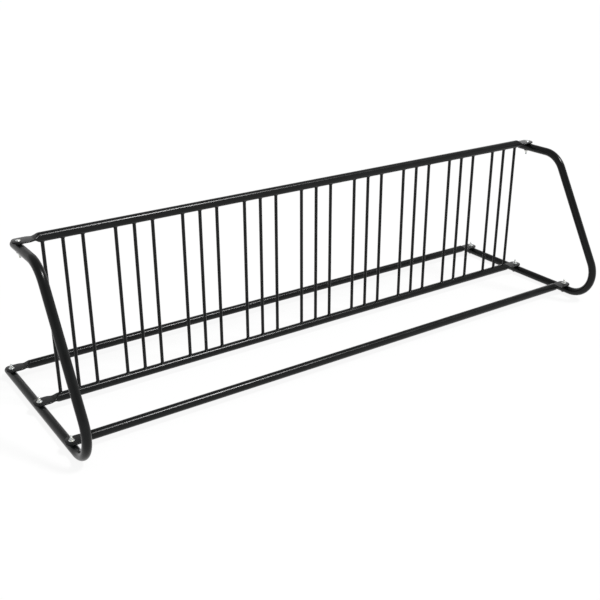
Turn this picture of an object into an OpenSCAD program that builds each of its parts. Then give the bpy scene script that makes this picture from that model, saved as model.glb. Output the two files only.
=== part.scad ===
// Double-sided floor bike rack.
// Upright bars stand in groups between a top rail and a rail on the floor line.
// A wheel goes in between two bars. A front and a rear base rail keep the rack from tipping.
// Each end is one bent tube that the four rails are bolted onto.
// Millimetres. +X runs along the rack, +Y to its back and +Z up.
// The origin is on the floor under the middle of the rack's outline.

/* [Grid] */
// Number of bar groups along the rack
groups = 9; // [2:1:9]
// Bars in each group
bars_per_group = 3; // [2:1:4]
// Distance between the middles of neighbouring groups
group_pitch = 330; // [310:5:400]
// Distance between the centres of neighbouring bars in a group
bar_pitch = 89.4; // [60:0.2:95]
// Diameter of a grid bar
bar_d = 15.9; // [10:0.1:18]
// Height of the top rail's axis over the lower grid rail's axis
grid_height = 766.2; // [500:0.2:1000]

/* [Tube] */
// Outside diameter of the rails and the end frames
tube_d = 42.2; // [32:0.1:50]
// Wall of the rails and the end frames
tube_wall = 2.1; // [1.2:0.1:3]

/* [Rails] */
// Distance of the front and the rear base rail from the grid
base_rail_reach = 387; // [300:1:395]
// Length of round rail left between the centre of the outermost bar and the start of the flattened end
bar_to_crimp = 10.6; // [10:0.2:120]

/* [Flattened rail ends] */
// Width of the flattened end
tongue_w = 73; // [60:1:80]
// Thickness of the flattened end
tongue_t = 7; // [5:0.5:10]
// Length over which the tube's height falls to the flattened thickness
shoulder_length = 30; // [20:1:50]
// Length over which the tube's width grows to the flattened width
flare_length = 55; // [51:1:75]
// Flat length between the flare and the bolt
tongue_length = 35; // [28:1:60]
// Distance from the bolt to the rounded tip
tongue_tip_reach = 28; // [24:1:50]

/* [End frames] */
// Radius of both bends, at the tube's axis
bend_radius = 141; // [90:1:200]
// Straight tube between the nose bend and the front bolt
nose_run = 46.4; // [40:0.1:200]
// Straight tube between the top bend and its bolt, to a millimetre or two. It sets the leg's slope.
top_run = 151; // [40:1:200]
// Length of tube left behind the last bolt, at the top and at the base
tube_end_past_bolt = 52; // [26:1:80]

/* [Bolted joints] */
// Diameter of the carriage bolts
bolt_d = 9.5; // [8:0.5:12]
// Length of a bolt under its head
bolt_length = 76.2; // [70:0.2:90]
// How much wider a bolt hole is than the bolt
hole_clearance = 1.2; // [0.6:0.1:2]
// How much wider a square hole is than the bolt's square neck
neck_clearance = 0.4; // [0.2:0.1:1]
// Length of the square neck
neck_h = 5; // [3:0.5:6]
// Diameter of the round bolt head
head_d = 21.5; // [19:0.5:25]
// Height of the round bolt head
head_h = 5; // [4:0.5:6]
// Straight rim below the head's dome
head_rim = 0.8; // [0.5:0.1:1.5]
// Length of the bevel at the thread's end
bolt_bevel = 1.2; // [0.5:0.1:2]
// Hex nut, across its flats
nut_af = 14.3; // [13:0.1:18]
// Height of the hex nut
nut_h = 8.3; // [6:0.1:10]
// Gap between the nut and the bolt's thread crests
thread_play = 0.1; // [0.05:0.05:0.3]
// Diameter of the flat washer
washer_d = 25.4; // [22:0.2:27]
// Thickness of the flat washer
washer_t = 2.1; // [1:0.1:3]
// Diameter of the saddle washer
saddle_d = 30; // [24:0.5:34]
// Thickness of the saddle washer over the tube's crest
saddle_t = 2.6; // [1.5:0.1:5]

/* [Tube end plugs] */
// Thickness of the plug's cap
plug_cap = 3; // [2:0.5:5]
// Rounding of the cap's rim
plug_round = 2; // [1:0.5:2]
// Length of the barrel inside the tube
plug_barrel = 14; // [8:1:18]
// Wall of the barrel
plug_wall = 2; // [1:0.1:3]
// Gap between the barrel and the tube's bore, across
plug_clearance = 0.3; // [0.1:0.1:0.6]

/* [Hidden] */
$fn = 48;
// Cutters run this far past the face that they cut
cut = 1;
// A lofted surface stays this far inside the turned surface that it runs into
seam = 0.05;
// A bend is drawn this many degrees too long, then cut off square
overrun = 3;
// The top run starts this far inside its bend, less than a solid is accurate to, so that no crack is left
hair = 4e-8;
// Millionths of its cosine over which the leg's slope looks for an exact angle
slope_search = 1500;
// Radius of a flattened end's tip over half the end's width
tip_bluntness = 1.05;
// Rings along a flattened end, and points around each ring
loft_rings = 9;
ring_points = 28;

tube_r = tube_d / 2;
bore_r = tube_r - tube_wall;
bar_count = groups * bars_per_group;

// Places along X
group_half = (bars_per_group - 1) * bar_pitch / 2;
last_bar_x = (groups - 1) * group_pitch / 2 + group_half;
crimp_x = last_bar_x + bar_to_crimp;
tongue_x = crimp_x + flare_length;
bolt_x = tongue_x + tongue_length;

// Heights: each base bolt's head stands on the floor, and the base tube stands on the heads
frame_base_z = head_h + tube_r;
rail_over_frame = tube_r + saddle_t + tongue_t / 2;
rail_base_z = frame_base_z + rail_over_frame;
rail_top_z = rail_base_z + grid_height;
frame_top_z = rail_top_z - rail_over_frame;

// Places along Y: the outline's middle is at zero
rear_bolt_back = max(tongue_w / 2, tube_end_past_bolt + plug_cap);
front_bolt_ahead = nose_run + bend_radius + tube_r;
grid_y = (front_bolt_ahead - rear_bolt_back) / 2;
front_y = grid_y - base_rail_reach;
rear_y = grid_y + base_rail_reach;

// Centreline of an end frame in its own plane, as [y, z]
base_end = [rear_y + tube_end_past_bolt, frame_base_z];
nose_centre = [front_y - nose_run, frame_base_z + bend_radius];
top_centre_z = frame_top_z - bend_radius;
leg_rise = top_centre_z - nose_centre.y;
leg_lean = grid_y - top_run - nose_centre.x;

// The leg's slope is moved by up to a tenth of a degree, to where its cosine and sine are whole millionths.
// Such short numbers turn a tube exactly, so its ends and the ends of the bends are the same circles.
million = 1e6;
slope_tries = [
    for (shift = [-slope_search : slope_search])
        let (
            c = round(million * leg_lean / norm([leg_lean, leg_rise])) + shift,
            s = round(sqrt(million * million - c * c))
        )
            [abs(c * c + s * s - million * million), atan2(s, c)]
];
slope_error = min([for (t = slope_tries) t[0]]);
leg_slope = [for (t = slope_tries) if (t[0] == slope_error) t[1]][0];
// Whole hundredths, for the same reason
leg_length = round(100 * leg_rise / sin(leg_slope)) / 100;
top_centre = nose_centre + leg_length * [cos(leg_slope), sin(leg_slope)];
top_end = [grid_y + tube_end_past_bolt, frame_top_z];

// Every bolted joint as [x side, y, rail height, true where the head is on top]
base_joints = [for (side = [-1, 1], y = [front_y, grid_y, rear_y]) [side, y, rail_base_z, false]];
top_joints = [for (side = [-1, 1]) [side, grid_y, rail_top_z, true]];

function bar_name(i) = str("grid_bar_", i < 10 ? "0" : "", i);
function bar_x(i) = (floor((i - 1) / bars_per_group) - (groups - 1) / 2) * group_pitch
    + ((i - 1) % bars_per_group) * bar_pitch - group_half;

coat = "#202323";
zinc = "#c9ccce";
plastic = "#151515";

// ---- Bent tube ----

// Draws in the plane of an end frame: x goes back, y goes up and z goes along the rack
module side_plane(x) {
    translate([x, 0, 0])
        rotate([90, 0, 90])
            children();
}

module tube_profile() {
    translate([bend_radius, 0])
        difference() {
            circle(r = tube_r);
            circle(r = bore_r);
        }
}

// A straight tube along +X, its axis one bend radius over the X axis
module straight(length) {
    rotate([90, 0, 90])
        linear_extrude(length)
            tube_profile();
}

// A bend that starts where such a straight tube starts, turns about the origin and runs a little too far
module bend(sweep) {
    rotate([0, 0, 90])
        rotate_extrude(angle = sweep + overrun)
            tube_profile();
}

// Takes away what a bend runs too far, past the Y axis
module past_bend() {
    translate([0, -bend_radius - 2 * tube_r, -2 * tube_r])
        cube([4 * tube_r, bend_radius + 2 * tube_r, 4 * tube_r]);
}

// The leg's own frame: the nose bend's centre is its origin and +X runs up the leg
module leg_frame() {
    translate([nose_centre.x, nose_centre.y, 0])
        rotate([0, 0, leg_slope])
            children();
}

// The top run's frame, with its origin at the top bend's centre. It is set inside the leg's frame.
module top_frame() {
    leg_frame()
        translate([leg_length, 0, 0])
            rotate([0, 0, -leg_slope])
                children();
}

module frame_tube() {
    translate([nose_centre.x, nose_centre.y, 0])
        mirror([0, 1, 0])
            straight(base_end.x - nose_centre.x);
    difference() {
        leg_frame() bend(180 - leg_slope);
        translate([nose_centre.x, nose_centre.y, 0]) past_bend();
    }
    leg_frame() straight(leg_length);
    difference() {
        leg_frame()
            translate([leg_length, 0, 0])
                mirror([1, 0, 0])
                    bend(leg_slope);
        top_frame() mirror([0, 1, 0]) past_bend();
    }
    top_frame()
        translate([-hair, 0, 0])
            straight(top_end.x - top_centre.x);
}

// Round bolt holes through the tube, and the square ones that the base bolts' necks sit in
module frame_holes(x) {
    hole_h = tube_d + 2 * cut;
    for (y = [front_y, grid_y, rear_y]) {
        translate([x, y, frame_base_z - tube_r - cut])
            cylinder(d = bolt_d + hole_clearance, h = hole_h);
        translate([x, y, frame_base_z - tube_r])
            neck_hole(tube_wall);
    }
    translate([x, grid_y, frame_top_z - tube_r - cut])
        cylinder(d = bolt_d + hole_clearance, h = hole_h);
}

module neck_hole(depth) {
    side = bolt_d + neck_clearance;
    translate([-side / 2, -side / 2, -cut])
        cube([side, side, depth + 2 * cut]);
}

module end_frame(side) {
    x = side * bolt_x;
    color(coat)
        difference() {
            side_plane(x) frame_tube();
            frame_holes(x);
        }
}

// ---- Rails with flattened ends ----

// A round-ended slot outline: half width a, half height b, points spread evenly over its two round ends
function slot_ring(a, b) = [
    for (k = [0 : ring_points - 1])
        let (turn = (k + 0.5) * 360 / ring_points - 90)
            [(turn < 90 ? 1 : -1) * (a - b) + b * cos(turn), b * sin(turn)]
];

// Eased step from 0 to 1 that starts and ends level
function ease(s) = (1 - cos(180 * min(max(s, 0), 1))) / 2;

// Half width and half height of the tube's outside, x along the flattened end from its start
function crimp_a(x) = tube_r + (tongue_w / 2 - tube_r) * ease(x / flare_length);
function crimp_b(x) = tube_r + (tongue_t / 2 - tube_r) * ease(x / shoulder_length);

// The loft from round to flat, `inset` inside the tube's outside, along +X from the start of the crimp
module crimp(inset) {
    stations = [for (k = [0 : loft_rings]) k * flare_length / loft_rings];
    xs = concat([-cut], stations, [flare_length + cut]);
    rings = [for (x = xs) slot_ring(crimp_a(x) - inset, crimp_b(x) - inset)];
    points = [for (i = [0 : len(xs) - 1], p = rings[i]) [xs[i], p.x, p.y]];
    last = (len(xs) - 1) * ring_points;
    sides = [
        for (i = [0 : len(xs) - 2], k = [0 : ring_points - 1])
            let (a = i * ring_points + k, b = i * ring_points + (k + 1) % ring_points)
                each [[a, a + ring_points, b], [b, a + ring_points, b + ring_points]]
    ];
    start = [for (k = [0 : ring_points - 1]) k];
    end = [for (k = [ring_points - 1 : -1 : 0]) last + k];
    polyhedron(points, concat(sides, [start, end]), convexity = 4);
}

// A bar of slot-shaped section along +X
module slot_bar(a, b, length) {
    rotate([90, 0, 90])
        linear_extrude(length)
            union() {
                square([2 * (a - b), 2 * b], center = true);
                translate([a - b, 0])
                    circle(r = b);
                translate([b - a, 0])
                    circle(r = b);
            }
}

// Outline of the flat end from above, x measured from the bolt
module tongue_outline() {
    tip_r = tip_bluntness * tongue_w / 2;
    tip_x = tongue_tip_reach - tip_r;
    translate([-tongue_length - cut, -tongue_w])
        square([tongue_length + cut + tip_x, 2 * tongue_w]);
    translate([tip_x, 0])
        circle(r = tip_r);
}

// The outside of one end, x measured from the bolt
module rail_end() {
    intersection() {
        translate([-tongue_length, 0, 0])
            slot_bar(tongue_w / 2, tongue_t / 2, tongue_length + tongue_w);
        translate([0, 0, -tongue_t])
            linear_extrude(2 * tongue_t)
                tongue_outline();
    }
    translate([-tongue_length - flare_length, 0, 0])
        crimp(seam);
}

// The hollow inside one end, x measured from the bolt
module rail_end_bore() {
    inner_a = tongue_w / 2 - tube_wall;
    inner_b = tongue_t / 2 - tube_wall;
    translate([-tongue_length, 0, 0])
        slot_bar(inner_a, inner_b, tongue_length + tongue_w);
    translate([-tongue_length - flare_length, 0, 0])
        crimp(tube_wall + seam);
}

module both_ends() {
    for (side = [0, 1])
        mirror([side, 0, 0])
            translate([bolt_x, 0, 0])
                children();
}

module along_rail(r) {
    translate([-crimp_x, 0, 0])
        rotate([0, 90, 0])
            cylinder(r = r, h = 2 * crimp_x);
}

module rail(y, z, square_holes) {
    color(coat)
        translate([0, y, z])
            difference() {
                union() {
                    along_rail(tube_r);
                    both_ends() rail_end();
                }
                along_rail(bore_r);
                both_ends() rail_end_bore();
                both_ends()
                    translate([0, 0, -tongue_t / 2])
                        if (square_holes) neck_hole(tongue_t);
                        else translate([0, 0, -cut])
                            cylinder(d = bolt_d + hole_clearance, h = tongue_t + 2 * cut);
            }
}

// ---- Upright bars, coped onto the rails ----

module grid_bar(i) {
    color(coat)
        difference() {
            translate([bar_x(i), grid_y, rail_base_z])
                cylinder(d = bar_d, h = grid_height);
            for (z = [rail_base_z, rail_top_z])
                translate([bar_x(i) - bar_d, grid_y, z])
                    rotate([0, 90, 0])
                        cylinder(r = tube_r, h = 2 * bar_d);
        }
}

// ---- Bolted joints ----
// Each piece is drawn with the bolt's head at z = 0 and its shank running up.

// Places children at every joint with z = 0 at the underside of the bolt's head
module at_joints(joints) {
    for (j = joints) {
        head_z = j[3] ? j[2] + tongue_t / 2 : frame_base_z - tube_r;
        translate([j.x * bolt_x, j.y, head_z])
            mirror([0, 0, j[3] ? 1 : 0])
                children();
    }
}

// The stack that a bolt holds together: flattened end, saddle washer and frame tube
stack_h = tongue_t + saddle_t + tube_d;

module carriage_bolt() {
    head_r = head_d / 2;
    dome_h = head_h - head_rim;
    dome_r = (head_r * head_r + dome_h * dome_h) / (2 * dome_h);
    intersection() {
        translate([0, 0, dome_r - head_h])
            sphere(r = dome_r);
        translate([0, 0, -head_h - cut])
            cylinder(r = head_r, h = dome_h + cut);
    }
    translate([0, 0, -head_rim])
        cylinder(r = head_r, h = head_rim);
    translate([-bolt_d / 2, -bolt_d / 2, 0])
        cube([bolt_d, bolt_d, neck_h]);
    cylinder(d = bolt_d, h = bolt_length - bolt_bevel);
    translate([0, 0, bolt_length - bolt_bevel])
        cylinder(d1 = bolt_d, d2 = bolt_d - 2 * bolt_bevel, h = bolt_bevel);
}

module flat_washer() {
    translate([0, 0, stack_h])
        difference() {
            cylinder(d = washer_d, h = washer_t);
            translate([0, 0, -cut])
                cylinder(d = bolt_d + hole_clearance, h = washer_t + 2 * cut);
        }
}

// A hexagon whose corners are taken off by cones at both faces
module hex_nut() {
    corner_r = nut_af / sqrt(3);
    bevel = corner_r - nut_af / 2;
    translate([0, 0, stack_h + washer_t])
        difference() {
            intersection() {
                cylinder(r = corner_r, h = nut_h, $fn = 6);
                rotate_extrude()
                    polygon([
                        [0, 0],
                        [nut_af / 2, 0],
                        [corner_r, bevel / 2],
                        [corner_r, nut_h - bevel / 2],
                        [nut_af / 2, nut_h],
                        [0, nut_h]
                    ]);
            }
            translate([0, 0, -cut])
                cylinder(d = bolt_d + thread_play, h = nut_h + 2 * cut);
        }
}

// Flat under the rail's end and hollowed to sit on the frame tube
module saddle_washer(joint) {
    frame_z = joint[2] - rail_over_frame;
    saddle_h = saddle_t + tube_r;
    color(plastic)
        difference() {
            translate([joint.x * bolt_x, joint.y, frame_z])
                cylinder(d = saddle_d, h = saddle_h);
            translate([joint.x * bolt_x, joint.y - saddle_d, frame_z])
                rotate([-90, 0, 0])
                    cylinder(r = tube_r, h = 2 * saddle_d);
            translate([joint.x * bolt_x, joint.y, frame_z])
                cylinder(d = bolt_d + hole_clearance, h = saddle_h + cut);
        }
}

// ---- Tube end plugs ----

// Drawn with the tube's end at z = 0 and the cap above it
module end_plug() {
    barrel_r = bore_r - plug_clearance / 2;
    rotate_extrude()
        union() {
            square([tube_r - plug_round, plug_cap]);
            square([tube_r, plug_cap - plug_round]);
            translate([tube_r - plug_round, plug_cap - plug_round])
                intersection() {
                    circle(r = plug_round);
                    square(plug_round);
                }
            translate([barrel_r - plug_wall, -plug_barrel])
                square([plug_wall, plug_barrel + plug_cap / 2]);
        }
}

module plug(side, end) {
    color(plastic)
        translate([side * bolt_x, end.x, end.y])
            rotate([-90, 0, 0])
                end_plug();
}

// ---- Nodes ----

end_frame(-1);  // left_end_frame
end_frame(1);  // right_end_frame
rail(grid_y, rail_top_z, true);  // top_rail
rail(grid_y, rail_base_z, false);  // lower_grid_rail
rail(front_y, rail_base_z, false);  // front_base_rail
rail(rear_y, rail_base_z, false);  // rear_base_rail
for (i = [1 : bar_count])
    grid_bar(i);
color(zinc) at_joints(top_joints) carriage_bolt();  // top_joint_bolts
color(zinc) at_joints(top_joints) hex_nut();  // top_joint_nuts
color(zinc) at_joints(top_joints) flat_washer();  // top_joint_washers
for (j = top_joints) saddle_washer(j);  // top_joint_saddles
color(zinc) at_joints(base_joints) carriage_bolt();  // base_joint_bolts
color(zinc) at_joints(base_joints) hex_nut();  // base_joint_nuts
color(zinc) at_joints(base_joints) flat_washer();  // base_joint_washers
for (j = base_joints) saddle_washer(j);  // base_joint_saddles
plug(-1, top_end);  // left_top_plug
plug(-1, base_end);  // left_base_plug
plug(1, top_end);  // right_top_plug
plug(1, base_end);  // right_base_plug
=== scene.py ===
# %% [markdown]
# # A floor bike rack in black powder coat
#
# The rack is a welded grid of upright bars between two long tubes, two more long tubes on the floor,
# and two bent tube end frames that everything is bolted onto with zinc plated carriage bolts.
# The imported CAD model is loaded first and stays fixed. It says where each piece sits. Every piece is
# then modelled again with smooth round surfaces and the small things that a maker would see: weld
# beads, threads, chamfered nuts, pressed flat tube ends and the texture of the finishes.

# %% Load the fixed frame and keep its box
import math

import bmesh
import bpy
from mathutils import Matrix, Vector


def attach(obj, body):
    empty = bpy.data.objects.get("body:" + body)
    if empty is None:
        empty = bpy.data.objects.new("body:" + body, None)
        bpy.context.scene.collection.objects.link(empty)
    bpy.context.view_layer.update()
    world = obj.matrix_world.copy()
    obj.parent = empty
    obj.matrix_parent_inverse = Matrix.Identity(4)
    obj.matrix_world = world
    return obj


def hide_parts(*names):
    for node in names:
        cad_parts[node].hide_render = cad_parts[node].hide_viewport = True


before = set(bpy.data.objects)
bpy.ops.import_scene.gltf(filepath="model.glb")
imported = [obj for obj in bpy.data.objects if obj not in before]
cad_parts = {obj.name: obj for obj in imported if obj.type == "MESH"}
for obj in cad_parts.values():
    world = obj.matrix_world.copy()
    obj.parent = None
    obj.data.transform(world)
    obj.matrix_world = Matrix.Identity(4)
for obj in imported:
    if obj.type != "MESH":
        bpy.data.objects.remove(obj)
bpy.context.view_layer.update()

# %% [markdown]
# ## Sizes
#
# All sizes are in millimetres, as on a drawing, and `mm` turns them into Blender's metres.
# The driving sizes repeat the CAD model's own, and the places are worked out from them in the same way,
# so that each new piece lies exactly where its node lies.

# %% Driving sizes of the tubes, the bars and the joints
TUBE_R, TUBE_WALL = 21.1, 2.1
BAR_R = 7.95
GRID_HEIGHT, RAIL_REACH = 766.2, 387.0
BEND_R, NOSE_RUN = 141.0, 46.4
TUBE_PAST_BOLT, PLUG_CAP = 52.0, 3.0
TONGUE_W, TONGUE_T = 73.0, 7.0
CRIMP_X, BOLT_X = 1420.0, 1510.0
BOLT_D, HOLE_D, NECK_HOLE = 9.5, 10.7, 9.9
HEAD_H, SADDLE_T = 5.0, 2.6
TUBE_SIDES = 64
# How near, in millimetres, a point has to be to a place to count as lying there.
SAME_PLACE = 0.01


def mm(*values):
    """Millimetres in metres: one number, or a tuple of them."""
    metres = tuple(v * 0.001 for v in values)
    return metres[0] if len(metres) == 1 else metres


print("tube", TUBE_R * 2, "mm across, bolts at", BOLT_X, "mm from the middle")

# %% Places that follow from them
# The base bolts' heads stand on the floor, and each rail lies on saddles over the frames' tubes.
FRAME_BASE_Z = HEAD_H + TUBE_R
RAIL_OVER_FRAME = TUBE_R + SADDLE_T + TONGUE_T / 2
RAIL_BASE_Z = FRAME_BASE_Z + RAIL_OVER_FRAME
RAIL_TOP_Z = RAIL_BASE_Z + GRID_HEIGHT
FRAME_TOP_Z = RAIL_TOP_Z - RAIL_OVER_FRAME
# From front to back, the middle of the rack's outline is at zero.
GRID_Y = (NOSE_RUN + BEND_R + TUBE_R - TUBE_PAST_BOLT - PLUG_CAP) / 2
FRONT_Y, REAR_Y = GRID_Y - RAIL_REACH, GRID_Y + RAIL_REACH
print("rails at heights of", round(RAIL_BASE_Z, 2), "and", round(RAIL_TOP_Z, 2), "mm")
print("bolts at y of", round(FRONT_Y, 2), round(GRID_Y, 2), "and", round(REAR_Y, 2), "mm")

# %% [markdown]
# ## Small helpers
#
# Blender's operators act on whatever is selected, so a new piece always starts with nothing selected.
# `pick` selects vertices by their place, and `modify` adds one modifier and applies it at once.
# `apply_place` puts a piece's place into its mesh and leaves its object at the origin.
# `finish` smooths a piece, names it, dresses it and hides the CAD nodes that it stands in for.


# %% Selecting and editing
def deselect():
    """Selects nothing, so that the next operator acts on its own piece alone."""
    bpy.ops.object.select_all(action="DESELECT")


def only(obj):
    """Makes obj the only selected object, and the active one."""
    deselect()
    obj.select_set(True)
    bpy.context.view_layer.objects.active = obj
    return obj


def apply_place(obj):
    """Moves the object's place, turn and scale into its mesh."""
    only(obj)
    bpy.ops.object.transform_apply(location=True, rotation=True, scale=True)
    return obj


def edit(obj):
    """Goes into edit mode with obj alone."""
    only(obj)
    bpy.ops.object.mode_set(mode="EDIT")


def done():
    """Leaves edit mode, which writes the edits into the mesh."""
    bpy.ops.object.mode_set(mode="OBJECT")


def pick(test):
    """In edit mode, selects the vertices whose place passes the test."""
    mesh = bpy.context.edit_object.data
    bpy.ops.mesh.select_mode(type="VERT")
    bpy.ops.mesh.select_all(action="DESELECT")
    live = bmesh.from_edit_mesh(mesh)
    for vertex in live.verts:
        vertex.select = test(vertex.co)
    live.select_flush(True)
    bmesh.update_edit_mesh(mesh)


def push(x, y, z):
    """Extrudes what is selected by that many millimetres."""
    bpy.ops.mesh.extrude_region_move(TRANSFORM_OT_translate={"value": mm(x, y, z)})


print("editing helpers ready")

# %% Modifiers, cuts and copies
def modify(obj, kind, **settings):
    """Adds a modifier of that kind with its settings, and applies it."""
    only(obj)
    added = obj.modifiers.new(kind.title(), kind)
    for name, value in settings.items():
        setattr(added, name, value)
    bpy.ops.object.modifier_apply(modifier=added.name)
    return obj


def cut_with(obj, cutter, how="DIFFERENCE"):
    """Cuts obj with a closed cutter, then throws the cutter away."""
    modify(obj, "BOOLEAN", operation=how, object=cutter, solver="EXACT")
    bpy.data.objects.remove(cutter)
    return obj


def soften(obj, width, above):
    """Rounds off every edge that turns by more than so many degrees, to that width in millimetres."""
    return modify(
        obj, "BEVEL", width=mm(width), segments=2, limit_method="ANGLE", angle_limit=math.radians(above)
    )


def copy_to(obj, x, y, z):
    """A copy of obj with its own mesh, moved by that many millimetres."""
    only(obj)
    bpy.ops.object.duplicate(linked=False)
    made = bpy.context.active_object
    made.location = mm(x, y, z)
    return apply_place(made)


def join(pieces):
    """Makes one object of several."""
    deselect()
    for piece in pieces:
        piece.select_set(True)
    bpy.context.view_layer.objects.active = pieces[0]
    bpy.ops.object.join()
    return bpy.context.active_object


print("shaping helpers ready")

# %% Finishing a piece
# Points closer than this many millimetres are one point.
SAME_POINT = 0.001
# An edge that turns by more than this many degrees stays crisp.
CRISP_FROM = 32


def face_outwards(obj):
    """Merges doubled points and turns every face of a closed shape outwards."""
    edit(obj)
    bpy.ops.mesh.select_all(action="SELECT")
    bpy.ops.mesh.remove_doubles(threshold=mm(SAME_POINT))
    bpy.ops.mesh.normals_make_consistent(inside=False)
    done()
    return obj


def finish(obj, name, material, slot, *nodes):
    """Smooths, names and dresses a piece, and hides the CAD nodes that it stands in for."""
    only(obj)
    bpy.ops.object.shade_smooth_by_angle(angle=math.radians(CRISP_FROM))
    obj.name = name
    obj.data.name = name
    obj.data.materials.clear()
    obj.data.materials.append(material)
    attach(obj, "root")
    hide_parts(*nodes)
    return obj


print("finishing helpers ready")

# %% [markdown]
# ## Black powder coat
#
# The tubes and bars are mild steel, sprayed with dry polyester powder and baked. The film flows out in
# the oven but never quite flat: it keeps a soft orange peel, about 2.5 mm from bump to bump and a
# hundredth of a millimetre deep. It gives a satin black with long thin highlights.
# Real powder goes on unevenly too, so the gloss drifts over a hand's breadth.
# Colours are written as sRGB hex and turned to linear by one function, and one adds every node.


# %% Colour and node helpers
def colour(hex_code):
    """An sRGB hex colour as Blender's linear colour."""
    parts = [int(hex_code[i : i + 2], 16) / 255 for i in (1, 3, 5)]
    linear = [p / 12.92 if p <= 0.04045 else ((p + 0.055) / 1.055) ** 2.4 for p in parts]
    return (*linear, 1.0)


def node(tree, kind, settings=None, links=None):
    """Adds a node, sets its inputs or properties by name, and links its inputs."""
    made = tree.nodes.new(kind)
    for name, value in (settings or {}).items():
        if isinstance(name, int) or name in made.inputs:
            made.inputs[name].default_value = value
        else:
            setattr(made, name, value)
    for name, source in (links or {}).items():
        tree.links.new(source, made.inputs[name])
    return made


def new_material(name):
    """An empty material with its Principled shader and the object's own coordinates."""
    material = bpy.data.materials.new(name)
    material.use_nodes = True
    tree = material.node_tree
    tree.nodes.clear()
    shader = node(tree, "ShaderNodeBsdfPrincipled")
    node(tree, "ShaderNodeOutputMaterial", links={"Surface": shader.outputs["BSDF"]})
    place = node(tree, "ShaderNodeTexCoord").outputs["Object"]
    return material, tree, shader, place


def per_metre(size_mm):
    """A noise scale whose bumps are about that many millimetres apart."""
    return 1000.0 / size_mm


print("middle grey, #808080, is", round(colour("#808080")[0], 3), "in linear light")

# %% The powder coat itself
PEEL_PITCH, WAVE_PITCH, DRIFT_PITCH = 2.5, 9, 70
PEEL_DEPTH = 0.012
COAT_ROUGHNESS = (0.20, 0.26)
COAT_SHINE = 0.19


def powder_coat():
    material, tree, shader, place = new_material("satin_black_powder_coat_on_steel")
    drift = node(
        tree, "ShaderNodeTexNoise",
        {"Scale": per_metre(DRIFT_PITCH), "Detail": 3.0, "Roughness": 0.55}, {"Vector": place},
    )
    tint = node(tree, "ShaderNodeValToRGB", links={"Fac": drift.outputs["Fac"]})
    tint.color_ramp.elements[0].position = 0.3
    tint.color_ramp.elements[0].color = colour("#080909")
    tint.color_ramp.elements[1].position = 0.7
    tint.color_ramp.elements[1].color = colour("#0d0f0f")
    glossy, dull = COAT_ROUGHNESS
    gloss = node(
        tree, "ShaderNodeMapRange",
        {"From Min": 0.3, "From Max": 0.7, "To Min": glossy, "To Max": dull},
        {"Value": drift.outputs["Fac"]},
    )
    peel = node(
        tree, "ShaderNodeTexNoise",
        {"Scale": per_metre(PEEL_PITCH), "Detail": 2.0, "Roughness": 0.5}, {"Vector": place},
    )
    # The peel is too fine to show on the whole rack, so a wider wave lets the highlights waver.
    wave = node(
        tree, "ShaderNodeTexNoise",
        {"Scale": per_metre(WAVE_PITCH), "Detail": 1.0, "Roughness": 0.5}, {"Vector": place},
    )
    peel_bump = node(
        tree, "ShaderNodeBump",
        {"Strength": 1.0, "Distance": mm(PEEL_DEPTH)}, {"Height": peel.outputs["Fac"]},
    )
    wave_bump = node(
        tree, "ShaderNodeBump",
        {"Strength": 1.0, "Distance": mm(PEEL_DEPTH)},
        {"Height": wave.outputs["Fac"], "Normal": peel_bump.outputs["Normal"]},
    )
    tree.links.new(tint.outputs["Color"], shader.inputs["Base Color"])
    tree.links.new(gloss.outputs["Result"], shader.inputs["Roughness"])
    tree.links.new(wave_bump.outputs["Normal"], shader.inputs["Normal"])
    shader.inputs["Specular IOR Level"].default_value = COAT_SHINE
    return material


COAT = powder_coat()
print(COAT.name, "has", len(COAT.node_tree.nodes), "nodes")

# %% [markdown]
# ## Bright zinc plate
#
# The bolts, nuts and washers are steel with a few microns of electroplated zinc under a clear chromate.
# It is a bright, slightly bluish metal whose dull crystals blur its reflections, and the chromate
# leaves faint clouds of blue and straw. A metal keeps the default IOR: its colour is its reflection.


# %% Zinc
CLOUD_PITCH, CRYSTAL_PITCH, CRYSTAL_DEPTH = 8, 0.5, 0.003


def zinc_plate():
    material, tree, shader, place = new_material("bright_zinc_plate_on_steel")
    cloud = node(
        tree, "ShaderNodeTexNoise",
        {"Scale": per_metre(CLOUD_PITCH), "Detail": 3.0, "Roughness": 0.6}, {"Vector": place},
    )
    tint = node(tree, "ShaderNodeValToRGB", links={"Fac": cloud.outputs["Fac"]})
    tint.color_ramp.elements[0].position = 0.35
    tint.color_ramp.elements[0].color = colour("#e2e8ee")
    tint.color_ramp.elements[1].position = 0.65
    tint.color_ramp.elements[1].color = colour("#eeece2")
    blur = node(
        tree, "ShaderNodeMapRange",
        {"From Min": 0.3, "From Max": 0.7, "To Min": 0.40, "To Max": 0.50},
        {"Value": cloud.outputs["Fac"]},
    )
    # The real crystals are microns across, too fine to show, so they are drawn half a millimetre apart.
    crystals = node(
        tree, "ShaderNodeTexNoise",
        {"Scale": per_metre(CRYSTAL_PITCH), "Detail": 2.0}, {"Vector": place},
    )
    bump = node(
        tree, "ShaderNodeBump",
        {"Strength": 1.0, "Distance": mm(CRYSTAL_DEPTH)}, {"Height": crystals.outputs["Fac"]},
    )
    tree.links.new(tint.outputs["Color"], shader.inputs["Base Color"])
    tree.links.new(blur.outputs["Result"], shader.inputs["Roughness"])
    tree.links.new(bump.outputs["Normal"], shader.inputs["Normal"])
    shader.inputs["Metallic"].default_value = 1.0
    return material


ZINC = zinc_plate()
print(ZINC.name, "has", len(ZINC.node_tree.nodes), "nodes")

# %% [markdown]
# ## Black polyethylene
#
# The saddle washers and the plugs in the tube ends are injection moulded polyethylene. The mould's
# spark-eroded walls leave a fine even grain, which makes the black look soft and slightly grey.


# %% Polyethylene
GRAIN_PITCH, GRAIN_DEPTH = 0.6, 0.02


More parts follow.
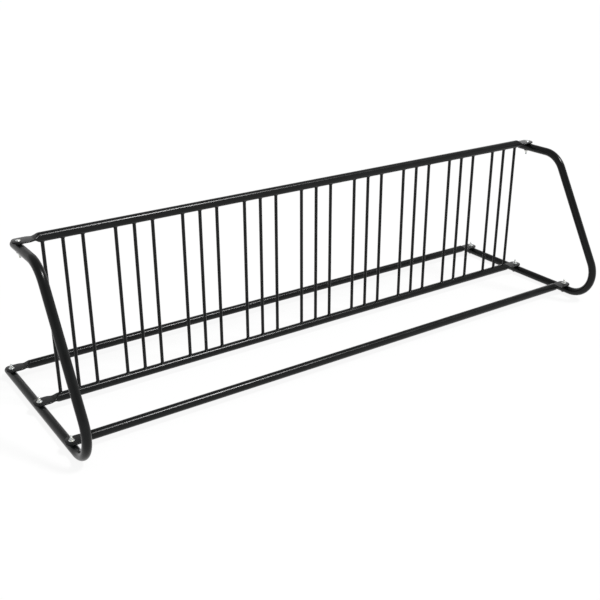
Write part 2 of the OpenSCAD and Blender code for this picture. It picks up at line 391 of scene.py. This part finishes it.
def polyethylene():
    material, tree, shader, place = new_material("black_polyethylene_moulded")
    # A real mould's grain is finer and would not show, so it is drawn 0.6 mm apart.
    grain = node(
        tree, "ShaderNodeTexNoise",
        {"Scale": per_metre(GRAIN_PITCH), "Detail": 2.0}, {"Vector": place},
    )
    bump = node(
        tree, "ShaderNodeBump",
        {"Strength": 1.0, "Distance": mm(GRAIN_DEPTH)}, {"Height": grain.outputs["Fac"]},
    )
    tint = node(tree, "ShaderNodeValToRGB", links={"Fac": grain.outputs["Fac"]})
    tint.color_ramp.elements[0].color = colour("#101010")
    tint.color_ramp.elements[1].color = colour("#191919")
    tree.links.new(tint.outputs["Color"], shader.inputs["Base Color"])
    tree.links.new(bump.outputs["Normal"], shader.inputs["Normal"])
    shader.inputs["Roughness"].default_value = 0.5
    return material


PLASTIC = polyethylene()
print(PLASTIC.name, "has", len(PLASTIC.node_tree.nodes), "nodes")

# %% [markdown]
# ## The end frames
#
# Each end frame is one length of tube, bent twice on a round die: along the floor, round the nose,
# up the leaning leg, round the top and back along a short level run. A bevelled curve could draw it,
# but a ring of points that is extruded for each straight and spun for each bend is how the bender
# works, and it gives even quads. Extra rings beside each bolt keep the holes' edges local.

# %% The bends' centres, each as (y, z)
LEG_SLOPE, LEG_LENGTH = 59.7652, 560.44
leg = (LEG_LENGTH * math.cos(math.radians(LEG_SLOPE)), LEG_LENGTH * math.sin(math.radians(LEG_SLOPE)))
nose_centre = (FRONT_Y - NOSE_RUN, FRAME_BASE_Z + BEND_R)
top_centre = (nose_centre[0] + leg[0], nose_centre[1] + leg[1])
print("the bends' centres are at", [round(v, 2) for v in (*nose_centre, *top_centre)], "mm")

# %% Follow the tube from its rear end to its top end
HOLE_MARGIN = 22.0
BEND_STEP = 3.0


def bend(centre, degrees):
    """Spins the open ring about centre's axis, along X. A positive angle turns it clockwise."""
    bpy.ops.mesh.spin(
        steps=round(abs(degrees) / BEND_STEP),
        angle=math.radians(degrees),
        center=mm(-BOLT_X, *centre),
        axis=(1, 0, 0),
    )


deselect()
bpy.ops.mesh.primitive_circle_add(
    vertices=TUBE_SIDES,
    radius=mm(TUBE_R),
    location=mm(-BOLT_X, REAR_Y + TUBE_PAST_BOLT, FRAME_BASE_Z),
    rotation=(math.radians(90), 0, 0),
)
end_frame = apply_place(bpy.context.active_object)
edit(end_frame)
bpy.ops.mesh.select_all(action="SELECT")
stops = [REAR_Y + TUBE_PAST_BOLT]
for bolt_y in (REAR_Y, GRID_Y, FRONT_Y):
    stops += [bolt_y + HOLE_MARGIN, bolt_y - HOLE_MARGIN]
stops.append(nose_centre[0])
for start, stop in zip(stops, stops[1:]):
    push(0, stop - start, 0)
bend(nose_centre, 180 - LEG_SLOPE)
push(0, *leg)
bend(top_centre, LEG_SLOPE)
push(0, GRID_Y - HOLE_MARGIN - top_centre[0], 0)
push(0, 2 * HOLE_MARGIN, 0)
push(0, TUBE_PAST_BOLT - HOLE_MARGIN, 0)
done()
face_outwards(end_frame)
far_end = max(v.co.z for v in end_frame.data.vertices)
print("end frame's top at", round(far_end * 1000, 2), "mm,", len(end_frame.data.polygons), "faces")

# %% [markdown]
# The ring has drawn only the tube's outside. Solidify gives the wall its 2.1 mm, inwards, and drills
# and punches follow: a round hole at each bolt, and a square one in the floor side for its neck.

# %% Give the tube its wall and its holes
modify(end_frame, "SOLIDIFY", thickness=mm(TUBE_WALL), offset=-1.0, use_even_offset=True)


def drill(x, y, z, depth, diameter=HOLE_D):
    """A round cutter, upright, with its middle at that place."""
    deselect()
    bpy.ops.mesh.primitive_cylinder_add(
        vertices=32, radius=mm(diameter / 2), depth=mm(depth), location=mm(x, y, z)
    )
    return apply_place(bpy.context.active_object)


def punch(x, y, z, depth):
    """A square cutter for a bolt's neck, with its middle at that place."""
    deselect()
    bpy.ops.mesh.primitive_cube_add(
        size=1.0, location=mm(x, y, z), scale=mm(NECK_HOLE, NECK_HOLE, depth)
    )
    return apply_place(bpy.context.active_object)


RAIL_ROWS = (FRONT_Y, GRID_Y, REAR_Y)
drills = [drill(-BOLT_X, y, FRAME_BASE_Z, 3 * TUBE_R) for y in RAIL_ROWS]
drills.append(drill(-BOLT_X, GRID_Y, FRAME_TOP_Z, 3 * TUBE_R))
cut_with(end_frame, join(drills))
punches = [punch(-BOLT_X, y, FRAME_BASE_Z - TUBE_R, 4 * TUBE_WALL) for y in RAIL_ROWS]
cut_with(end_frame, join(punches))
face_outwards(end_frame)
right_frame = copy_to(end_frame, 2 * BOLT_X, 0, 0)
finish(end_frame, "left_bent_tube_frame", COAT, "black_powder_coat", "left_end_frame")
finish(right_frame, "right_bent_tube_frame", COAT, "black_powder_coat", "right_end_frame")
print("each end frame has", len(end_frame.data.polygons), "faces")

# %% [markdown]
# ## The rails
#
# Each rail is a straight tube whose two ends are pressed flat in a die, so that it can be bolted.
# The press leaves the tube whole: while its height falls from 42 mm to 7 mm, its sides swell outwards,
# and the section goes from a circle to a slot with round ends. A ring of points is extruded in short
# steps, shrunk at each step to the slot's height, and its two halves are then drawn apart.
# One end is modelled and mirrored, because both are pressed in the same die.

# %% The pressed end's section, from round to flat
SHOULDER, FLARE = 30.0, 55.0


def eased(share):
    """From 0 to 1, level at both ends."""
    return (1 - math.cos(math.pi * min(max(share, 0.0), 1.0))) / 2


def slot_at(past_crimp):
    """Half the slot's width and half its height, that far past the start of the pressed end."""
    half_width = TUBE_R + (TONGUE_W / 2 - TUBE_R) * eased(past_crimp / FLARE)
    half_height = TUBE_R + (TONGUE_T / 2 - TUBE_R) * eased(past_crimp / SHOULDER)
    return half_width, half_height


print("half way down the flare the slot is", [round(2 * v, 1) for v in slot_at(FLARE / 2)], "mm")

# %% Draw half a rail from the middle to the pressed end
PRESS_STEPS = 18
HOLE_ROOM, BLANK_PAST_BOLT = 12.0, 40.0


def press_to(x, before, after):
    """Shrinks the newest ring to the next slot's height, then draws its halves apart."""
    shrink = after[1] / before[1]
    bpy.ops.transform.resize(value=(1, shrink, shrink), center_override=mm(x, 0, 0))
    spread = (after[0] - after[1]) - (before[0] - before[1]) * shrink
    for side in (-1, 1):
        pick(lambda co: abs(co.x - mm(x)) < mm(SAME_PLACE) and co.y * side > 0)
        bpy.ops.transform.translate(value=mm(0, side * spread, 0))
    pick(lambda co: abs(co.x - mm(x)) < mm(SAME_PLACE))


deselect()
bpy.ops.mesh.primitive_circle_add(
    vertices=TUBE_SIDES, radius=mm(TUBE_R), rotation=(0, math.radians(90), 0)
)
rail = apply_place(bpy.context.active_object)
# Half a step of turn leaves no point on the crest, so the ring splits cleanly into two halves.
rail.rotation_euler.x = math.pi / TUBE_SIDES
apply_place(rail)
edit(rail)
bpy.ops.mesh.select_all(action="SELECT")
push(CRIMP_X, 0, 0)
section = slot_at(0)
for step in range(1, PRESS_STEPS + 1):
    past = FLARE * step / PRESS_STEPS
    push(FLARE / PRESS_STEPS, 0, 0)
    press_to(CRIMP_X + past, section, slot_at(past))
    section = slot_at(past)
stops = [CRIMP_X + FLARE, BOLT_X - HOLE_ROOM, BOLT_X + HOLE_ROOM, BOLT_X + BLANK_PAST_BOLT]
for start, stop in zip(stops, stops[1:]):
    push(stop - start, 0, 0)
done()
modify(rail, "MIRROR", use_axis=(True, False, False), merge_threshold=mm(SAME_PLACE))
face_outwards(rail)
modify(rail, "SOLIDIFY", thickness=mm(TUBE_WALL), offset=-1.0, use_even_offset=True)
print("rail blank", [round(v * 1000, 1) for v in rail.dimensions], "mm")

# %% [markdown]
# The pressed ends are sheared to a rounded tip. One long cutter with two round ends does both:
# a cylinder is cut in two by place, its halves are drawn apart, and what lies inside it is kept.
# The shear leaves a small break on the edge, which the paint rounds, and a fine bevel stands for both.

# %% Shear the tips
TIP_REACH, TIP_BLUNTNESS = 28.0, 1.05
TIP_R = TIP_BLUNTNESS * TONGUE_W / 2
SHEARED_EDGE = 0.35
deselect()
bpy.ops.mesh.primitive_cylinder_add(vertices=192, radius=mm(TIP_R), depth=mm(4 * TUBE_R))
shear = apply_place(bpy.context.active_object)
edit(shear)
for side in (-1, 1):
    pick(lambda co: co.x * side > mm(SAME_PLACE))
    bpy.ops.transform.translate(value=mm(side * (BOLT_X + TIP_REACH - TIP_R), 0, 0))
done()
cut_with(rail, shear, "INTERSECT")
soften(rail, SHEARED_EDGE, 50)
print("sheared rail", [round(v * 1000, 1) for v in rail.dimensions], "mm")

# %% Set out the four rails and drill them
RAILS = {
    "top_rail": (GRID_Y, RAIL_TOP_Z),
    "lower_grid_rail": (GRID_Y, RAIL_BASE_Z),
    "front_base_rail": (FRONT_Y, RAIL_BASE_Z),
    "rear_base_rail": (REAR_Y, RAIL_BASE_Z),
}
for rail_name, (y, z) in RAILS.items():
    made = copy_to(rail, 0, y, z)
    # The top rail's holes are square, for the necks of the bolts that are put in from above.
    cutter = punch if rail_name == "top_rail" else drill
    for side in (-1, 1):
        cut_with(made, cutter(side * BOLT_X, y, z, 3 * TONGUE_T))
    face_outwards(made)
    finish(made, rail_name + "_pressed_tube", COAT, "black_powder_coat", rail_name)
    print(made.name, len(made.data.polygons), "faces")
bpy.data.objects.remove(rail)

# %% [markdown]
# ## The grid bars
#
# Each bar is a 15.9 mm rod, coped at both ends to sit on the round rails, and welded all round.
# The cope is cut with a cylinder of the rail's own size. The weld bead is a ring of 3 mm fillet with
# the small ripples that a hand-held torch leaves, and it follows the saddle where the bar meets the tube.
# No operator drapes a ring over a tube, so each point of the bead drops by the tube's own curve.

# %% The weld bead
BEAD_R = 3.0
RIPPLES, RIPPLE_DEPTH = 16, 0.012
WANDER_WAVES, WANDER = 3, 0.01


def drop(y):
    """How far the tube's surface has fallen below its crest, that far to the side, in metres."""
    return mm(TUBE_R) - math.sqrt(mm(TUBE_R) ** 2 - y * y)


def bead(rail_z, up):
    """A rippled weld bead on the rail at that height, on its crest (up 1) or under it (up -1)."""
    deselect()
    bpy.ops.mesh.primitive_torus_add(
        major_segments=96, minor_segments=10,
        major_radius=mm(BAR_R), minor_radius=mm(BEAD_R),
    )
    made = apply_place(bpy.context.active_object)
    for vertex in made.data.vertices:
        around = math.atan2(vertex.co.y, vertex.co.x)
        ripple = RIPPLE_DEPTH * math.sin(RIPPLES * around)
        swell = 1 + ripple + WANDER * math.sin(WANDER_WAVES * around + rail_z)
        vertex.co.x *= swell
        vertex.co.y *= swell
        vertex.co.z = up * (vertex.co.z - drop(vertex.co.y))
    made.location = mm(0, 0, rail_z + up * TUBE_R)
    return face_outwards(apply_place(made))


print("bead", BEAD_R, "mm, with", RIPPLES, "ripples")

# %% One bar, coped and with its two beads
BAR_SIDES, CUTTER_SIDES = 40, 128


def lying_tube(z):
    """A cutter with the rail's outside, at that height."""
    deselect()
    bpy.ops.mesh.primitive_cylinder_add(
        vertices=CUTTER_SIDES, radius=mm(TUBE_R), depth=mm(4 * BAR_R),
        location=mm(0, 0, z), rotation=(0, math.radians(90), 0),
    )
    return apply_place(bpy.context.active_object)


deselect()
bpy.ops.mesh.primitive_cylinder_add(
    vertices=BAR_SIDES, radius=mm(BAR_R), depth=mm(RAIL_TOP_Z - RAIL_BASE_Z),
    location=mm(0, 0, (RAIL_TOP_Z + RAIL_BASE_Z) / 2),
)
bar = apply_place(bpy.context.active_object)
cut_with(bar, join([lying_tube(RAIL_BASE_Z), lying_tube(RAIL_TOP_Z)]))
face_outwards(bar)
bar = join([bar, bead(RAIL_BASE_Z, 1), bead(RAIL_TOP_Z, -1)])
print("one bar has", len(bar.data.polygons), "faces")

# %% [markdown]
# The bars stand in nine groups of three, thirteen inches apart, which leaves room for the handlebars
# of neighbouring bicycles.

# %% Set out all the bars
GROUPS, PER_GROUP = 9, 3
GROUP_PITCH, BAR_PITCH = 330.0, 89.4
number = 0
for group in range(GROUPS):
    middle = (group - (GROUPS - 1) / 2) * GROUP_PITCH
    for in_group in range(PER_GROUP):
        number += 1
        made = copy_to(bar, middle + (in_group - (PER_GROUP - 1) / 2) * BAR_PITCH, GRID_Y, 0)
        finish(made, f"welded_bar_{number:02d}", COAT, "black_powder_coat", f"grid_bar_{number:02d}")
bpy.data.objects.remove(bar)
print(number, "bars set out")

# %% [markdown]
# ## Carriage bolts
#
# A carriage bolt has a low dome over a square neck, which bites into a square hole and keeps the bolt
# from turning, and a rolled thread. The bolt is turned up ring by ring from its dome, as on a lathe,
# and the neck is joined on. The thread is cut with a three-sided wire that the Screw modifier
# winds to the real pitch, 1.59 mm, so its grooves are a true helix that runs out past the bolt's end.


# %% Turn a shape ring by ring
def turned(rings, sides=48, hollow=False):
    """Stacks rings, given as (radius, height) in millimetres. A hollow shape's last ring is its first."""
    deselect()
    radius, height = rings[0]
    bpy.ops.mesh.primitive_circle_add(vertices=sides, radius=mm(radius), location=mm(0, 0, height))
    made = apply_place(bpy.context.active_object)
    edit(made)
    bpy.ops.mesh.select_all(action="SELECT")
    if not hollow:
        bpy.ops.mesh.edge_face_add()
        pick(lambda co: True)
    for next_radius, next_height in rings[1:]:
        push(0, 0, next_height - height)
        grow = next_radius / radius
        bpy.ops.transform.resize(value=(grow, grow, 1), center_override=mm(0, 0, next_height))
        radius, height = next_radius, next_height
    done()
    return face_outwards(made)


print("lathe ready")

# %% Turn the bolt
HEAD_R, HEAD_RIM = 10.75, 0.8
BOLT_LENGTH, BOLT_BEVEL, NECK_H = 76.2, 1.2, 5.0
DOME_STEPS = 12
dome_h = HEAD_H - HEAD_RIM
dome_r = (HEAD_R**2 + dome_h**2) / (2 * dome_h)
widest = math.asin(HEAD_R / dome_r)
dome_angles = [widest * k / DOME_STEPS for k in range(1, DOME_STEPS + 1)]
dome = [(dome_r * math.sin(a), dome_r - HEAD_H - dome_r * math.cos(a)) for a in dome_angles]
shank = [(HEAD_R, 0), (BOLT_D / 2, 0), (BOLT_D / 2, BOLT_LENGTH - BOLT_BEVEL)]
tip = [(BOLT_D / 2 - BOLT_BEVEL, BOLT_LENGTH)]
bolt = turned(dome + shank + tip)
deselect()
bpy.ops.mesh.primitive_cube_add(
    size=1.0, location=mm(0, 0, NECK_H / 2), scale=mm(BOLT_D, BOLT_D, NECK_H)
)
cut_with(bolt, apply_place(bpy.context.active_object), "UNION")
print("bolt", [round(v * 1000, 2) for v in bolt.dimensions], "mm")

# %% Cut the thread
PITCH = 1.5875
THREAD_LENGTH = 32.0
ROOT_R, GROOVE_OUT = 3.6, 4.9
EXTRA_TURNS = 2
# A 60 degree groove is a triangle with equal sides, so a circle of three points draws it. The
# circle's radius is two thirds of the triangle's height. Extra turns run out past the bolt's end.
wire_r = (GROOVE_OUT - ROOT_R) * 2 / 3
deselect()
bpy.ops.mesh.primitive_circle_add(
    vertices=3,
    radius=mm(wire_r),
    location=mm(ROOT_R + wire_r, 0, BOLT_LENGTH - THREAD_LENGTH),
    rotation=(math.radians(90), math.radians(-90), 0),
)
wire = apply_place(bpy.context.active_object)
turns = int(THREAD_LENGTH / PITCH) + EXTRA_TURNS
modify(
    wire, "SCREW", axis="Z", steps=32, render_steps=32, iterations=turns,
    screw_offset=mm(PITCH), angle=math.radians(360), use_merge_vertices=False,
)
edit(wire)
bpy.ops.mesh.select_all(action="SELECT")
bpy.ops.mesh.remove_doubles(threshold=mm(SAME_POINT))
bpy.ops.mesh.fill_holes(sides=3)
done()
face_outwards(wire)
cut_with(bolt, wire)
face_outwards(bolt)
print("threaded bolt has", len(bolt.data.polygons), "faces")

# %% [markdown]
# ## Nuts, washers and saddles
#
# A hex nut is a slice of hexagonal bar whose corners are turned off at both faces by a cone, which
# leaves the round-cornered look of a bought nut. A flat washer is blanked from sheet. A saddle washer
# is moulded flat on top and hollow below, so that the flat rail end sits square on the round tube.

# %% The washer, with z = 0 under the bolt's head
# A bolt clamps the frame's tube, a saddle and a flat rail end.
STACK = 2 * TUBE_R + SADDLE_T + TONGUE_T
WASHER_R, WASHER_T = 12.7, 2.1
SOFT_EDGE = 0.3
nut_low = STACK + WASHER_T
washer = turned(
    [(HOLE_D / 2, STACK), (WASHER_R, STACK), (WASHER_R, nut_low), (HOLE_D / 2, nut_low),
     (HOLE_D / 2, STACK)],
    sides=64, hollow=True,
)
soften(washer, SOFT_EDGE, 40)
print("washer", [round(v * 1000, 2) for v in washer.dimensions], "mm")

# %% The nut, on the washer
NUT_FLATS, NUT_H, NUT_BORE = 14.3, 8.3, 9.6
NUT_EDGE = 0.18
corner = NUT_FLATS / math.sqrt(3)
slope = (corner - NUT_FLATS / 2) / 2
deselect()
bpy.ops.mesh.primitive_cylinder_add(
    vertices=6, radius=mm(corner), depth=mm(NUT_H), location=mm(0, 0, nut_low + NUT_H / 2)
)
nut = apply_place(bpy.context.active_object)
cones = turned(
    [(NUT_FLATS / 2, nut_low), (corner, nut_low + slope), (corner, nut_low + NUT_H - slope),
     (NUT_FLATS / 2, nut_low + NUT_H)],
    sides=96,
)
cut_with(nut, cones, "INTERSECT")
cut_with(nut, drill(0, 0, nut_low + NUT_H / 2, 2 * NUT_H, NUT_BORE))
soften(nut, NUT_EDGE, 40)
print("nut", [round(v * 1000, 2) for v in nut.dimensions], "mm")

# %% The saddle washer, drawn with the frame tube's axis at z = 0
SADDLE_R = 15.0
saddle_top = TUBE_R + SADDLE_T
deselect()
bpy.ops.mesh.primitive_cylinder_add(
    vertices=64, radius=mm(SADDLE_R), depth=mm(saddle_top), location=mm(0, 0, saddle_top / 2)
)
saddle = apply_place(bpy.context.active_object)
deselect()
bpy.ops.mesh.primitive_cylinder_add(
    vertices=CUTTER_SIDES, radius=mm(TUBE_R), depth=mm(3 * SADDLE_R), rotation=(math.radians(90), 0, 0)
)
cut_with(saddle, apply_place(bpy.context.active_object))
cut_with(saddle, drill(0, 0, TUBE_R, 3 * TUBE_R))
soften(saddle, SOFT_EDGE, 60)
print("saddle", [round(v * 1000, 2) for v in saddle.dimensions], "mm")

# %% [markdown]
# On the six base joints the dome is below the tube, on the floor, and the nut is on top. On the two top
# joints the bolt is turned over: a smooth dome on top is kinder to hands, and the nut hangs below.

# %% Set out the fasteners
FLOOR_JOINTS = [(side * BOLT_X, y) for side in (-1, 1) for y in RAIL_ROWS]
TOP_JOINTS = [(side * BOLT_X, GRID_Y) for side in (-1, 1)]
HEAD_ON_TOP_Z = RAIL_TOP_Z + TONGUE_T / 2


def set_out(piece, word, material, slot):
    """Puts a copy of one fastener at every joint, in the two groups that the CAD has."""
    upright = join([copy_to(piece, x, y, FRAME_BASE_Z - TUBE_R) for x, y in FLOOR_JOINTS])
    finish(upright, f"base_joint_{word}_detailed", material, slot, f"base_joint_{word}")
    turned_over = copy_to(piece, 0, 0, 0)
    turned_over.rotation_euler.x = math.pi
    apply_place(turned_over)
    hanging = join([copy_to(turned_over, x, y, HEAD_ON_TOP_Z) for x, y in TOP_JOINTS])
    finish(hanging, f"top_joint_{word}_detailed", material, slot, f"top_joint_{word}")
    bpy.data.objects.remove(turned_over)
    bpy.data.objects.remove(piece)
    print(word, len(upright.data.polygons) + len(hanging.data.polygons), "faces")


set_out(bolt, "bolts", ZINC, "zinc_plate")
set_out(nut, "nuts", ZINC, "zinc_plate")
set_out(washer, "washers", ZINC, "zinc_plate")
low_saddles = join([copy_to(saddle, x, y, FRAME_BASE_Z) for x, y in FLOOR_JOINTS])
finish(low_saddles, "base_joint_saddles_moulded", PLASTIC, "black_plastic", "base_joint_saddles")
high_saddles = join([copy_to(saddle, x, y, FRAME_TOP_Z) for x, y in TOP_JOINTS])
finish(high_saddles, "top_joint_saddles_moulded", PLASTIC, "black_plastic", "top_joint_saddles")
bpy.data.objects.remove(saddle)

# %% [markdown]
# ## Tube end plugs
#
# A moulded plug closes each open end of the two end frames. Its cap is as wide as the tube, with a
# rounded rim and a shallow dish round the spot where the plastic was let into the mould,
# and a hollow barrel grips the bore. It is turned as the bolt is, and laid along Y.

# %% Plugs
PLUG_ROUND, PLUG_BARREL, PLUG_WALL = 2.0, 14.0, 2.0
PLUG_PLAY = 0.15
BARREL_R = TUBE_R - TUBE_WALL - PLUG_PLAY
# A turned shape starts and ends with a small disc. The cap is as thick under its dish as at its rim.
DISC_R, DISH_FLOOR_R, DISH_R, DISH_DEPTH = 3, 4, 5, 0.5
dish = [(DISC_R, PLUG_CAP - DISH_DEPTH), (DISH_FLOOR_R, PLUG_CAP - DISH_DEPTH), (DISH_R, PLUG_CAP)]
rounded = [
    (TUBE_R - PLUG_ROUND + PLUG_ROUND * math.sin(a), PLUG_CAP - PLUG_ROUND + PLUG_ROUND * math.cos(a))
    for a in (math.radians(d) for d in range(0, 91, 15))
]
inner_r = BARREL_R - PLUG_WALL
barrel = [
    (TUBE_R, 0), (BARREL_R, 0), (BARREL_R, -PLUG_BARREL), (inner_r, -PLUG_BARREL),
    (inner_r, -DISH_DEPTH), (DISC_R, -DISH_DEPTH),
]
plug = turned(dish + rounded + barrel, sides=TUBE_SIDES)
plug.rotation_euler.x = math.radians(-90)
apply_place(plug)
for side, word in ((-1, "left"), (1, "right")):
    for level, y, z in (("top", GRID_Y, FRAME_TOP_Z), ("base", REAR_Y, FRAME_BASE_Z)):
        made = copy_to(plug, side * BOLT_X, y + TUBE_PAST_BOLT, z)
        finish(made, f"{word}_{level}_plug_moulded", PLASTIC, "black_plastic", f"{word}_{level}_plug")
bpy.data.objects.remove(plug)
print("plugs set")

# %% [markdown]
# ## Floor, light and camera
#
# The floor is a plain pale sheet. Seen straight by the camera it is mostly white paper, and part of it
# is left to the lamps, so that it keeps the rack's soft shadow. The studio's walls are white too, and its
# ceiling is dimmer, which keeps the tops of the tubes dark. They light the rack softly from all round.


# %% What is seen, and what gives light
def when_seen(tree, lit, shown, share=1.0):
    """The camera and all reflections see `shown`, by that share, while `lit` gives the light."""
    path = node(tree, "ShaderNodeLightPath")
    seen = node(
        tree, "ShaderNodeMath", {"operation": "MAXIMUM"},
        {0: path.outputs["Is Camera Ray"], 1: path.outputs["Is Glossy Ray"]},
    )
    any_seen = node(
        tree, "ShaderNodeMath", {"operation": "MAXIMUM"},
        {0: seen.outputs[0], 1: path.outputs["Is Transmission Ray"]},
    )
    part = node(tree, "ShaderNodeMath", {"operation": "MULTIPLY", 1: share}, {0: any_seen.outputs[0]})
    return node(tree, "ShaderNodeMixShader", links={0: part.outputs[0], 1: lit, 2: shown})


print("the camera and the reflections see white")

# %% The floor
FLOOR_SIZE = 60.0
WHITE_SHARE = 0.9
deselect()
bpy.ops.mesh.primitive_plane_add(size=FLOOR_SIZE)
floor = bpy.context.active_object
floor.name = "studio_floor"
paper, paper_tree, paper_shader, paper_place = new_material("white_studio_paper")
fibres = node(
    paper_tree, "ShaderNodeTexNoise", {"Scale": per_metre(40), "Detail": 2.0}, {"Vector": paper_place}
)
shade = node(paper_tree, "ShaderNodeValToRGB", links={"Fac": fibres.outputs["Fac"]})
shade.color_ramp.elements[0].color = colour("#f4f4f4")
shade.color_ramp.elements[1].color = colour("#f8f8f8")
paper_tree.links.new(shade.outputs["Color"], paper_shader.inputs["Base Color"])
paper_shader.inputs["Roughness"].default_value = 0.9
paper_shader.inputs["Specular IOR Level"].default_value = 0.0
plain_white = node(paper_tree, "ShaderNodeEmission", {"Color": (1, 1, 1, 1), "Strength": 1.0})
paper_mix = when_seen(paper_tree, paper_shader.outputs["BSDF"], plain_white.outputs[0], WHITE_SHARE)
paper_out = [n for n in paper_tree.nodes if n.bl_idname == "ShaderNodeOutputMaterial"][0]
paper_tree.links.new(paper_mix.outputs[0], paper_out.inputs["Surface"])
floor.data.materials.append(paper)
print("floor", FLOOR_SIZE, "m across")

# %% The studio's walls and ceiling
# The walls end and the ceiling starts at the heights whose sines these are.
WALL_TOP, CEILING_EDGE = 0.30, 0.50
ROOM_LIGHT = 0.5
studio = bpy.data.worlds.new("white_studio")
bpy.context.scene.world = studio
studio.use_nodes = True
room = studio.node_tree
room.nodes.clear()
direction = node(room, "ShaderNodeTexCoord")
height = node(room, "ShaderNodeSeparateXYZ", links={"Vector": direction.outputs["Object"]})
walls = node(room, "ShaderNodeValToRGB", links={"Fac": height.outputs["Z"]})
walls.color_ramp.elements[0].position = WALL_TOP
walls.color_ramp.elements[0].color = colour("#ffffff")
walls.color_ramp.elements[1].position = CEILING_EDGE
walls.color_ramp.elements[1].color = colour("#bcbcbc")
room_seen = node(room, "ShaderNodeBackground", {"Strength": 1.0}, {"Color": walls.outputs["Color"]})
room_light = node(room, "ShaderNodeBackground", {"Color": (1, 1, 1, 1), "Strength": ROOM_LIGHT})
room_mix = when_seen(room, room_light.outputs[0], room_seen.outputs[0])
node(room, "ShaderNodeOutputWorld", links={"Surface": room_mix.outputs[0]})
print("room light", ROOM_LIGHT)

# %% [markdown]
# One key lamp does the rest. A tube shows a lamp as a thin line where its skin lies half way between
# the eye and the lamp. A lamp close by would move that line from rail to rail, so the key lamp is a
# far one, high in front and to the right, and every rail has its line at the same place.

# %% The key lamp
KEY_FROM = (0.385, -0.387, 0.838)
KEY_STRENGTH, KEY_WIDTH = 2.6, 10
lamp = bpy.data.lights.new("key_lamp", "SUN")
lamp.energy = KEY_STRENGTH
lamp.angle = math.radians(KEY_WIDTH)
key = bpy.data.objects.new("key_lamp", lamp)
bpy.context.collection.objects.link(key)
key.rotation_euler = Vector(KEY_FROM).to_track_quat("Z", "Y").to_euler()
print("key lamp", KEY_STRENGTH, "and", KEY_WIDTH, "degrees wide")

# %% [markdown]
# The camera stands at the left front corner, a little over head height, with a moderately long lens.

# %% The camera
CAMERA_AT = (-2533.4, -3505.625, 2097.3)
AZIMUTH, ELEVATION, ROLL = -34.197, 23.589, -0.094
LENS, SENSOR = 54.41, 36.0
camera_data = bpy.data.cameras.new("camera")
camera_data.lens = LENS
camera_data.sensor_width = SENSOR
camera_data.clip_end = 100.0
camera = bpy.data.objects.new("camera", camera_data)
bpy.context.collection.objects.link(camera)
turn = Matrix.Rotation(math.radians(AZIMUTH), 3, "Z")
tip_down = Matrix.Rotation(math.radians(90 - ELEVATION), 3, "X")
roll = Matrix.Rotation(math.radians(ROLL), 3, "Z")
camera.location = mm(*CAMERA_AT)
camera.rotation_euler = (turn @ tip_down @ roll).to_euler()
bpy.context.scene.camera = camera
bpy.context.scene.view_settings.view_transform = "Standard"
print("camera", [round(v, 3) for v in camera.location], "m, lens", LENS, "mm")
